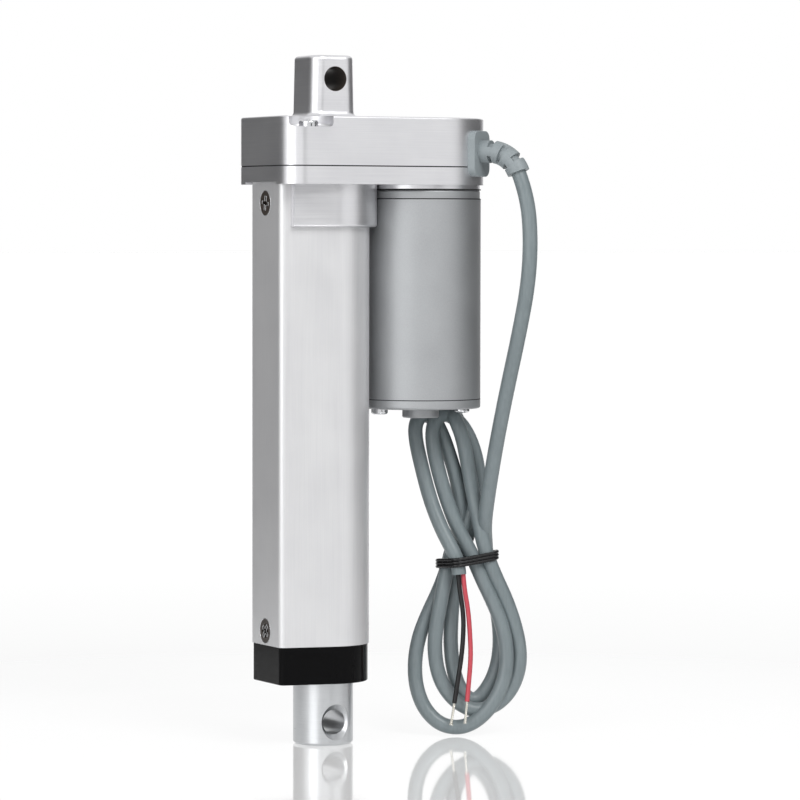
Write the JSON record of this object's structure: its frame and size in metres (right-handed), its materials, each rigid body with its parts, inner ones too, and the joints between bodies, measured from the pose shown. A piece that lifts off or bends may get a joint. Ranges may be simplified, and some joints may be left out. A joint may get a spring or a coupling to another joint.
{
  "type": "electric linear actuator",
  "caption": "Electric linear actuator: motor beside a tube, gearbox on top with a pinned tang, lead screw and sliding rod with a pin hole, and a tied cable with bare leads.",
  "frame": {"origin": "centre of the rear pin hole, through the tang on top of the gearbox", "axes": "+Z from the rod end up to the tang along the rod's axis; +X from the rod's axis to the motor; the front, where the cable leaves, faces -Y"},
  "size_m": [0.0966, 0.0548, 0.2286],
  "materials": {
    "cast_silver_paint": "fine satin silver paint over a die casting",
    "dark_gasket": "matt sheet",
    "plated_steel": "bright zinc plate",
    "anodised_tube": "satin anodised, drawn along its length",
    "dark_screw": "black oxide with worn rim",
    "black_cap": "glossy moulded black",
    "guide_plastic": "natural moulded",
    "wiper_rubber": "matt",
    "polished_rod": "turned and polished, bright",
    "screw_steel": "rolled and oiled",
    "bearing_steel": "ground and polished",
    "bearing_cage": "pressed sheet",
    "gear_plastic": "moulded, natural white",
    "pinion_steel": "sintered",
    "motor_silver": "satin silver paint",
    "ferrite": "ground ferrite",
    "core_laminations": "stacked electrical sheet",
    "copper_wire": "enamelled copper",
    "carbon": "pressed carbon",
    "sintered_bronze": "sintered, oiled",
    "circuit_board": "solder mask on glass-fibre board",
    "switch_body": "moulded black",
    "plunger_white": "moulded white",
    "grommet_grey": "soft moulded grey, matt",
    "cable_grey": "extruded grey jacket, slight sheen",
    "tie_black": "plastic-covered wire",
    "lead_red": "extruded insulation",
    "lead_black": "extruded insulation",
    "tinned_strands": "tinned twisted strands"
  },
  "bodies": {
    "housing": {"gearbox_upper_housing": "cast_silver_paint", "gearbox_lower_housing": "cast_silver_paint", "housing_gasket": "dark_gasket", "housing_screws": "plated_steel", "motor_end_screws": "plated_steel", "motor_mount_screws": "plated_steel", "outer_tube": "anodised_tube", "tube_screws": "dark_screw", "front_cap": "black_cap", "rod_guide_bush": "guide_plastic", "rod_wiper": "wiper_rubber", "idler_shaft": "screw_steel", "bearing_circlip": "screw_steel", "bearing_outer_ring": "bearing_steel", "motor_can": "motor_silver", "motor_front_bell": "motor_silver", "motor_end_cap": "motor_silver", "motor_magnets": "ferrite", "motor_brushes": "carbon", "motor_front_bush": "sintered_bronze", "motor_rear_bush": "sintered_bronze", "limit_switch_board": "circuit_board", "upper_limit_switch": "switch_body", "lower_limit_switch": "switch_body", "cable_grommet": "grommet_grey", "power_cable": "cable_grey", "cable_hank": "cable_grey", "cable_tie": "tie_black", "red_lead": "lead_red", "black_lead": "lead_black", "red_lead_tip": "tinned_strands", "black_lead_tip": "tinned_strands"},
    "rod": {"rod_tube": "polished_rod", "rod_end": "polished_rod", "lead_nut": "guide_plastic"},
    "screw": {"lead_screw": "screw_steel", "screw_spacer": "screw_steel", "screw_gear": "gear_plastic", "bearing_inner_ring": "bearing_steel"},
    "ball_set": {"bearing_balls": "bearing_steel", "bearing_cage": "bearing_cage"},
    "idler": {"idler_gear": "gear_plastic"},
    "rotor": {"motor_shaft": "screw_steel", "motor_pinion": "pinion_steel", "armature_core": "core_laminations", "armature_windings": "copper_wire", "commutator": "copper_wire"},
    "upper_plunger": {"upper_switch_plunger": "plunger_white"},
    "lower_plunger": {"lower_switch_plunger": "plunger_white"}
  },
  "joints": [
    {"name": "rotor_spin", "type": "hinge", "parent": "housing", "child": "rotor", "pos_m": [0.0365, 0, -0.07], "axis": [0, 0, 1], "range_deg": [0, 76840]},
    {"name": "idler_spin", "type": "hinge", "parent": "housing", "child": "idler", "pos_m": [0.01825, 0.00214, -0.025], "axis": [0, 0, 1], "range_deg": [-24930, 0]},
    {"name": "screw_spin", "type": "hinge", "parent": "housing", "child": "screw", "pos_m": [0, 0, -0.07], "axis": [0, 0, 1], "range_deg": [0, 9000]},
    {"name": "ball_set_spin", "type": "hinge", "parent": "housing", "child": "ball_set", "pos_m": [0, 0, -0.0366], "axis": [0, 0, 1], "range_deg": [0, 3400]},
    {"name": "rod_slide", "type": "slide", "parent": "housing", "child": "rod", "axis": [0, 0, -1], "range_m": [0, 0.1]},
    {"name": "upper_plunger_slide", "type": "slide", "parent": "housing", "child": "upper_plunger", "axis": [0, 0, 1], "range_m": [0, 0.0005], "stiffness_N_per_m": 500},
    {"name": "lower_plunger_slide", "type": "slide", "parent": "housing", "child": "lower_plunger", "axis": [0, 0, -1], "range_m": [0, 0.0005], "stiffness_N_per_m": 500}
  ],
  "couplings": [
    {"joint": "idler_spin", "follows": "rotor_spin", "ratio": -0.32432},
    {"joint": "screw_spin", "follows": "rotor_spin", "ratio": 0.11712},
    {"joint": "ball_set_spin", "follows": "rotor_spin", "ratio": 0.04381},
    {"joint": "rod_slide", "follows": "rotor_spin", "m_per_rad": 0.000074559}
  ]
}
